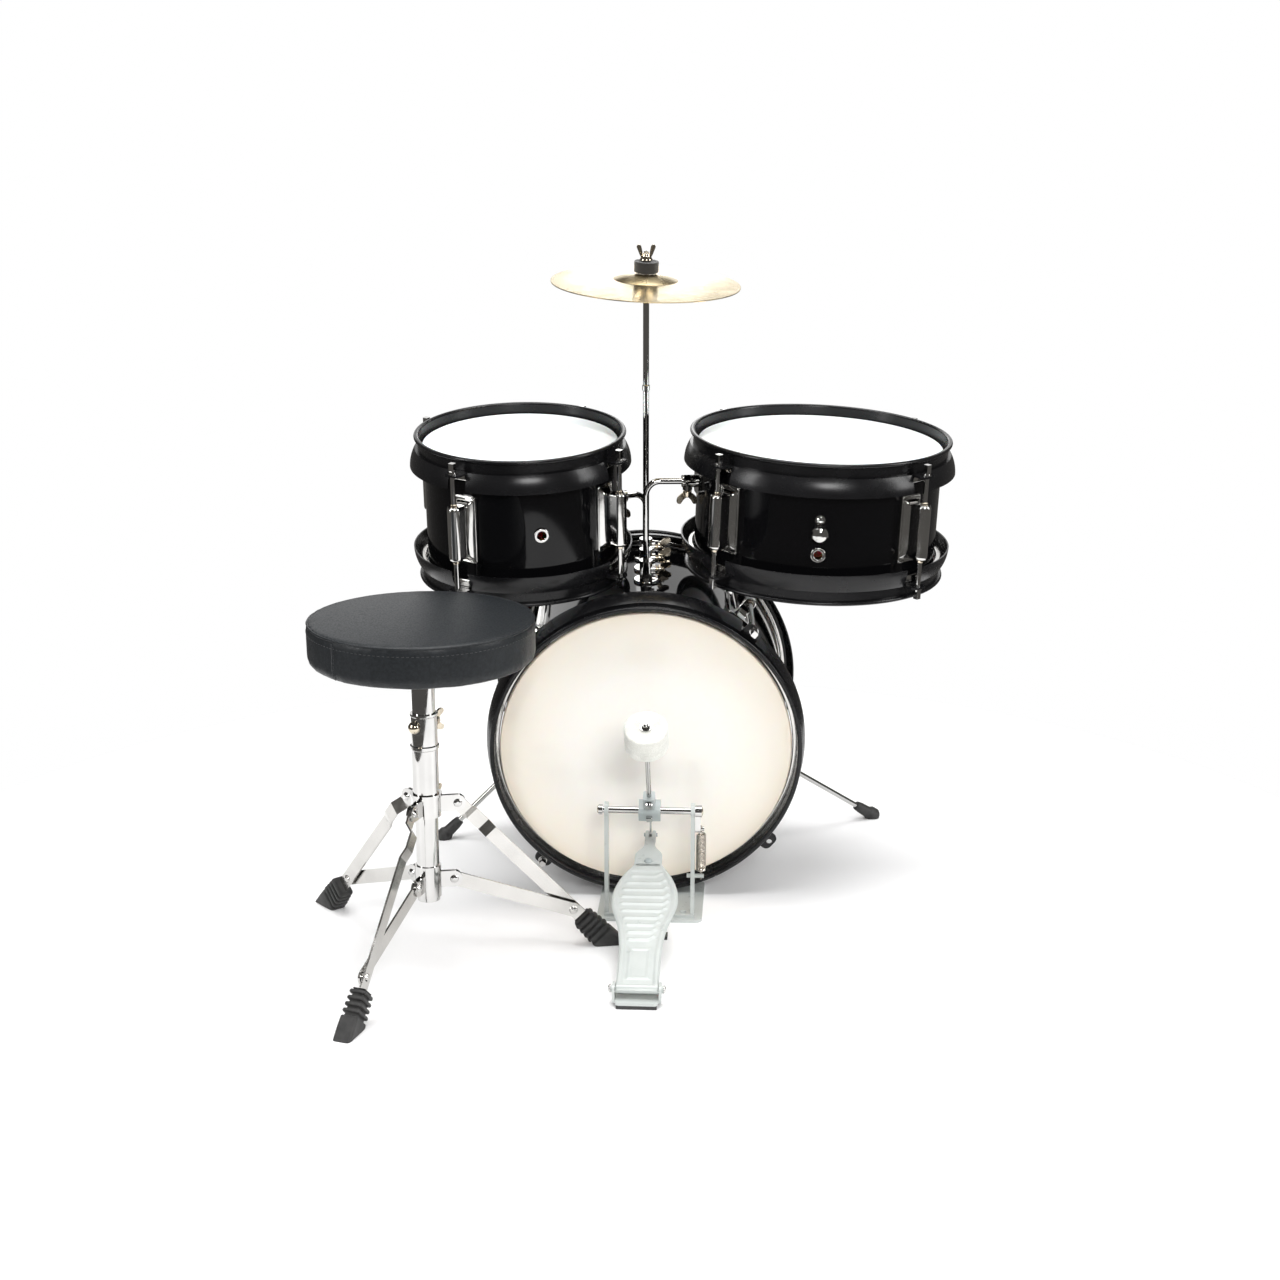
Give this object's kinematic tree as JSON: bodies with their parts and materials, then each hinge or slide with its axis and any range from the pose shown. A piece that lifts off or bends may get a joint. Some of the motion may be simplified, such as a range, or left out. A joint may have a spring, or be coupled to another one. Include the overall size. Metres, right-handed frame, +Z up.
{
  "type": "acoustic drum kit",
  "caption": "Junior acoustic drum kit: pedal-struck bass drum on spurs carrying two toms and a cymbal on posts, with a folding round throne.",
  "frame": {"origin": "centre of the kit's footprint, on the floor", "axes": "+Z up, +Y away from the drummer along the bass drum, +X to the drummer's right"},
  "size_m": [0.667, 0.5942, 0.6735],
  "materials": {
    "shell_wrap": "gloss black wrap on a wood shell",
    "black_hoop": "semi-gloss black",
    "bass_head": "translucent cream film, semi-gloss",
    "tom_head": "coated white film",
    "rubber": "matt",
    "pedal_paint": "pale grey-green paint, satin",
    "pedal_grey": "grey paint, satin",
    "white_felt": "white wool felt",
    "black_felt": "black felt",
    "cymbal_brass": "lathed, polished",
    "spring_steel": "bright",
    "vinyl": "grained black vinyl over foam",
    "black_plastic": "moulded",
    "lug_chrome": "polished",
    "chrome": "polished"
  },
  "bodies": {
    "bass_drum": {"bass_shell": "shell_wrap", "bass_heads": "bass_head", "bass_hoops": "black_hoop", "bass_lugs": "lug_chrome", "bass_tension_rods": "chrome", "bass_shell_brackets": "chrome", "pedal_frame": "pedal_paint", "pedal_spring": "spring_steel"},
    "front_post_wing_bolt": {"front_post_wing_bolt": "chrome"},
    "middle_post_wing_bolt": {"middle_post_wing_bolt": "chrome"},
    "rear_post_wing_bolt": {"rear_post_wing_bolt": "chrome"},
    "left_spur": {"left_spur_rod": "chrome", "left_spur_tip": "rubber"},
    "left_spur_wing_screw": {"left_spur_wing_screw": "chrome"},
    "right_spur": {"right_spur_rod": "chrome", "right_spur_tip": "rubber"},
    "right_spur_wing_screw": {"right_spur_wing_screw": "chrome"},
    "large_tom_arm": {"large_tom_arm": "chrome"},
    "large_tom": {"large_tom_shell": "shell_wrap", "large_tom_heads": "tom_head", "large_tom_hoops": "black_hoop", "large_tom_lugs": "lug_chrome", "large_tom_tension_rods": "chrome", "large_tom_fittings": "chrome"},
    "large_tom_wing_screw": {"large_tom_wing_screw": "chrome"},
    "small_tom_arm": {"small_tom_arm": "chrome"},
    "small_tom": {"small_tom_shell": "shell_wrap", "small_tom_heads": "tom_head", "small_tom_hoops": "black_hoop", "small_tom_lugs": "lug_chrome", "small_tom_tension_rods": "chrome", "small_tom_fittings": "chrome"},
    "small_tom_wing_screw": {"small_tom_wing_screw": "chrome"},
    "tone_knob": {"tone_knob": "chrome"},
    "cymbal_rod": {"cymbal_rod": "chrome", "cymbal_felts": "black_felt"},
    "cymbal": {"cymbal": "cymbal_brass"},
    "cymbal_wing_nut": {"cymbal_wing_nut": "chrome"},
    "beater": {"pedal_axle": "chrome", "beater_hub": "pedal_grey", "beater_rod": "chrome", "beater_felt": "white_felt"},
    "footboard": {"footboard": "pedal_paint"},
    "pedal_link": {"pedal_link": "chrome"},
    "throne_tube": {"throne_tube": "chrome"},
    "seat_post": {"seat_post": "chrome"},
    "seat": {"seat_mount": "black_plastic", "seat_cushion": "vinyl"},
    "throne_height_bolt": {"throne_height_bolt": "chrome"},
    "throne_collar": {"throne_collar": "chrome"},
    "throne_collar_bolt": {"throne_collar_bolt": "chrome"},
    "throne_leg_1": {"throne_leg_1": "chrome", "throne_foot_1": "rubber"},
    "throne_brace_1": {"throne_brace_1": "chrome"},
    "throne_leg_2": {"throne_leg_2": "chrome", "throne_foot_2": "rubber"},
    "throne_brace_2": {"throne_brace_2": "chrome"},
    "throne_leg_3": {"throne_leg_3": "chrome", "throne_foot_3": "rubber"},
    "throne_brace_3": {"throne_brace_3": "chrome"}
  },
  "joints": [
    {"name": "front_wing_bolt_turn", "type": "hinge", "parent": "bass_drum", "child": "front_post_wing_bolt", "pos_m": [0.01316, 0.1173, 0.33859], "axis": [1, 0, 0], "continuous": true},
    {"name": "middle_wing_bolt_turn", "type": "hinge", "parent": "bass_drum", "child": "middle_post_wing_bolt", "pos_m": [0.01316, 0.15206, 0.34267], "axis": [1, 0, 0], "continuous": true},
    {"name": "rear_wing_bolt_turn", "type": "hinge", "parent": "bass_drum", "child": "rear_post_wing_bolt", "pos_m": [0.01316, 0.18583, 0.34664], "axis": [1, 0, 0], "continuous": true},
    {"name": "left_spur_slide", "type": "slide", "parent": "bass_drum", "child": "left_spur", "axis": [-0.7108, -0.0715, -0.6998], "range_m": [0, 0.03]},
    {"name": "left_spur_screw_turn", "type": "hinge", "parent": "bass_drum", "child": "left_spur_wing_screw", "pos_m": [-0.12637, 0.22804, 0.09158], "axis": [0.0509, -0.9974, 0.0501], "continuous": true},
    {"name": "right_spur_slide", "type": "slide", "parent": "bass_drum", "child": "right_spur", "axis": [0.764, 0.3372, -0.5501], "range_m": [0, 0.03]},
    {"name": "right_spur_screw_turn", "type": "hinge", "parent": "bass_drum", "child": "right_spur_wing_screw", "pos_m": [0.15332, 0.23295, 0.09338], "axis": [0.2737, -0.9414, -0.197], "continuous": true},
    {"name": "large_tom_swivel", "type": "hinge", "parent": "bass_drum", "child": "large_tom_arm", "pos_m": [0.01316, 0.1061, 0.43393], "axis": [0, -0.1167, 0.9932], "range_deg": [-20, 5]},
    {"name": "large_tom_tilt", "type": "hinge", "parent": "large_tom_arm", "child": "large_tom", "pos_m": [0.01316, 0.1061, 0.43393], "axis": [0.9871, 0.158, -0.0254], "range_deg": [-4, 10]},
    {"name": "large_tom_screw_turn", "type": "hinge", "parent": "large_tom", "child": "large_tom_wing_screw", "pos_m": [0.05627, 0.113, 0.43282], "axis": [-0.0363, 0.067, -0.9971], "continuous": true},
    {"name": "small_tom_swivel", "type": "hinge", "parent": "bass_drum", "child": "small_tom_arm", "pos_m": [0.01316, 0.17871, 0.40722], "axis": [0, -0.1167, 0.9932], "range_deg": [-7, 2.5]},
    {"name": "small_tom_tilt", "type": "hinge", "parent": "small_tom_arm", "child": "small_tom", "pos_m": [0.01316, 0.17871, 0.40722], "axis": [-0.9141, -0.4017, -0.056], "range_deg": [-4, 4]},
    {"name": "small_tom_screw_turn", "type": "hinge", "parent": "small_tom", "child": "small_tom_wing_screw", "pos_m": [-0.01342, 0.16703, 0.40559], "axis": [0.008, 0.1202, -0.9927], "continuous": true},
    {"name": "tone_knob_turn", "type": "hinge", "parent": "large_tom", "child": "tone_knob", "pos_m": [0.18429, 0.01066, 0.40072], "axis": [-0.0592, -0.9961, -0.0648], "range_deg": [-135, 135]},
    {"name": "cymbal_height", "type": "slide", "parent": "bass_drum", "child": "cymbal_rod", "axis": [0, -0.1167, 0.9932], "range_m": [0, 0.025]},
    {"name": "cymbal_rock", "type": "hinge", "parent": "cymbal_rod", "child": "cymbal", "pos_m": [0.01314, 0.1167, 0.6436], "axis": [0.9992, 0.0038, -0.0399], "range_deg": [-5, 5], "stiffness_Nm_per_rad": 0.6},
    {"name": "cymbal_nut_turn", "type": "hinge", "parent": "cymbal_rod", "child": "cymbal_wing_nut", "pos_m": [0.01316, 0.11776, 0.63466], "axis": [0, -0.1167, 0.9932], "continuous": true},
    {"name": "beater_swing", "type": "hinge", "parent": "bass_drum", "child": "beater", "pos_m": [0.0169, -0.00688, 0.116], "axis": [-0.9981, 0.061, 0], "range_deg": [0, 40.25], "stiffness_Nm_per_rad": 0.12, "springref_deg": -28.65, "deforming": ["pedal_spring"]},
    {"name": "footboard_press", "type": "hinge", "parent": "bass_drum", "child": "footboard", "pos_m": [0.0042, -0.2145, 0.015], "axis": [-0.9981, 0.061, 0], "range_deg": [0, 3.18]},
    {"name": "link_swing", "type": "hinge", "parent": "footboard", "child": "pedal_link", "pos_m": [0.01812, 0.01308, 0.082], "axis": [-0.9981, 0.061, 0], "range_deg": [-15.56, 0.05]},
    {"name": "throne_place", "type": "slide", "parent": "bass_drum", "child": "throne_tube", "axis": [-0.6, -0.8, 0], "range_m": [0, 0.3]},
    {"name": "seat_height", "type": "slide", "parent": "throne_tube", "child": "seat_post", "axis": [0, 0, 1], "range_m": [0, 0.045]},
    {"name": "seat_turn", "type": "hinge", "parent": "seat_post", "child": "seat", "pos_m": [-0.19884, -0.10895, 0.304], "axis": [0, 0, 1], "continuous": true},
    {"name": "height_bolt_turn", "type": "hinge", "parent": "throne_tube", "child": "throne_height_bolt", "pos_m": [-0.19884, -0.10895, 0.24], "axis": [-0.6018, -0.7986, 0], "continuous": true},
    {"name": "throne_fold", "type": "slide", "parent": "throne_tube", "child": "throne_collar", "axis": [0, 0, -1], "range_m": [0, 0.034]},
    {"name": "collar_bolt_turn", "type": "hinge", "parent": "throne_collar", "child": "throne_collar_bolt", "pos_m": [-0.19884, -0.10895, 0.1601], "axis": [0.342, 0.9397, 0], "continuous": true},
    {"name": "leg_1_fold", "type": "hinge", "parent": "throne_collar", "child": "throne_leg_1", "pos_m": [-0.1693, -0.10375, 0.16], "axis": [-0.1736, 0.9848, 0], "range_deg": [0, 27.27]},
    {"name": "brace_1_fold", "type": "hinge", "parent": "throne_tube", "child": "throne_brace_1", "pos_m": [-0.17422, -0.10461, 0.082], "axis": [-0.1736, 0.9848, 0], "range_deg": [0, 46.74]},
    {"name": "leg_2_fold", "type": "hinge", "parent": "throne_collar", "child": "throne_leg_2", "pos_m": [-0.21813, -0.08597, 0.16], "axis": [-0.766, -0.6428, 0], "range_deg": [0, 27.27]},
    {"name": "brace_2_fold", "type": "hinge", "parent": "throne_tube", "child": "throne_brace_2", "pos_m": [-0.21491, -0.0898, 0.082], "axis": [-0.766, -0.6428, 0], "range_deg": [0, 46.74]},
    {"name": "leg_3_fold", "type": "hinge", "parent": "throne_collar", "child": "throne_leg_3", "pos_m": [-0.2091, -0.13714, 0.16], "axis": [0.9397, -0.342, 0], "range_deg": [0, 27.27]},
    {"name": "brace_3_fold", "type": "hinge", "parent": "throne_tube", "child": "throne_brace_3", "pos_m": [-0.20739, -0.13245, 0.082], "axis": [0.9397, -0.342, 0], "range_deg": [0, 46.74]}
  ],
  "couplings": [
    {"joint": "footboard_press", "follows": "beater_swing", "ratio": 0.077664},
    {"joint": "link_swing", "follows": "beater_swing", "ratio": -0.38533},
    {"joint": "leg_1_fold", "follows": "throne_fold", "rad_per_m": 13.975},
    {"joint": "brace_1_fold", "follows": "throne_fold", "rad_per_m": 23.966},
    {"joint": "leg_2_fold", "follows": "throne_fold", "rad_per_m": 13.975},
    {"joint": "brace_2_fold", "follows": "throne_fold", "rad_per_m": 23.966},
    {"joint": "leg_3_fold", "follows": "throne_fold", "rad_per_m": 13.975},
    {"joint": "brace_3_fold", "follows": "throne_fold", "rad_per_m": 23.966}
  ]
}
